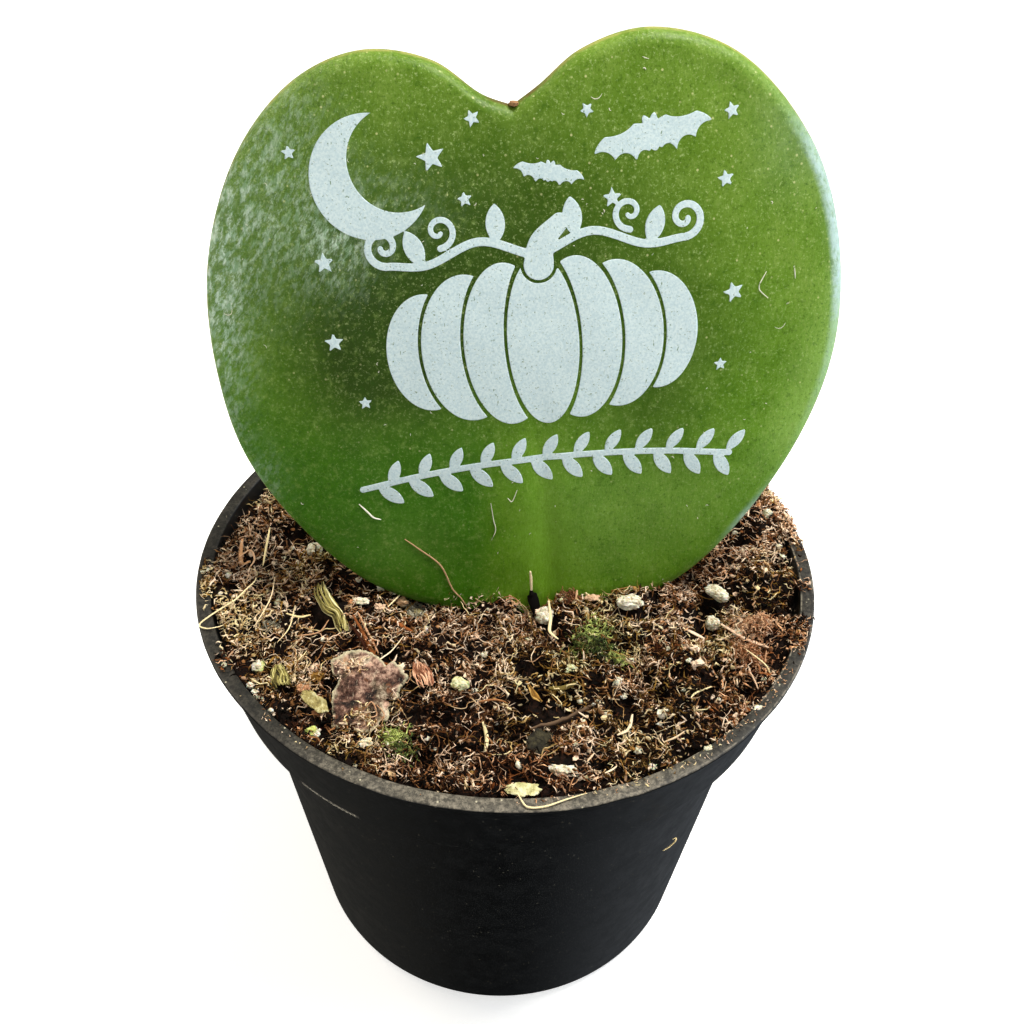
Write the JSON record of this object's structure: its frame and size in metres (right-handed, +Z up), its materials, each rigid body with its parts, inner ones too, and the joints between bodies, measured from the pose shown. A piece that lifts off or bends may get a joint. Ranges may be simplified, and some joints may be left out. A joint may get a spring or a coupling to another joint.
{
  "type": "potted hoya plant",
  "caption": "Single thick heart-shaped hoya leaf rooted upright in a small round tapered nursery pot of fibrous soil with pale grains and bark scraps on top.",
  "frame": {"origin": "centre of the pot's foot, on the surface that it stands on", "axes": "+Z up along the pot's axis, the leaf's front faces -Y, +X to the right seen from the front"},
  "size_m": [0.065, 0.065, 0.103],
  "materials": {
    "pot_plastic": "satin",
    "soil": "matte",
    "leaf": "satin",
    "perlite": "matte",
    "bark": "matte",
    "litter": "matte"
  },
  "bodies": {
    "root": {"pot": "pot_plastic", "soil": "soil", "leaf": "leaf", "perlite_1": "perlite", "perlite_2": "perlite", "perlite_3": "perlite", "perlite_4": "perlite", "perlite_5": "perlite", "perlite_6": "perlite", "perlite_7": "perlite", "perlite_8": "perlite", "perlite_9": "perlite", "perlite_10": "perlite", "bark_flake": "bark", "bark_strip": "bark", "twig": "bark", "husk": "litter", "leaf_scrap": "litter", "chip_yellow": "litter", "chip_green": "litter", "chip_tan": "litter", "chip_pale": "litter"}
  },
  "joints": []
}
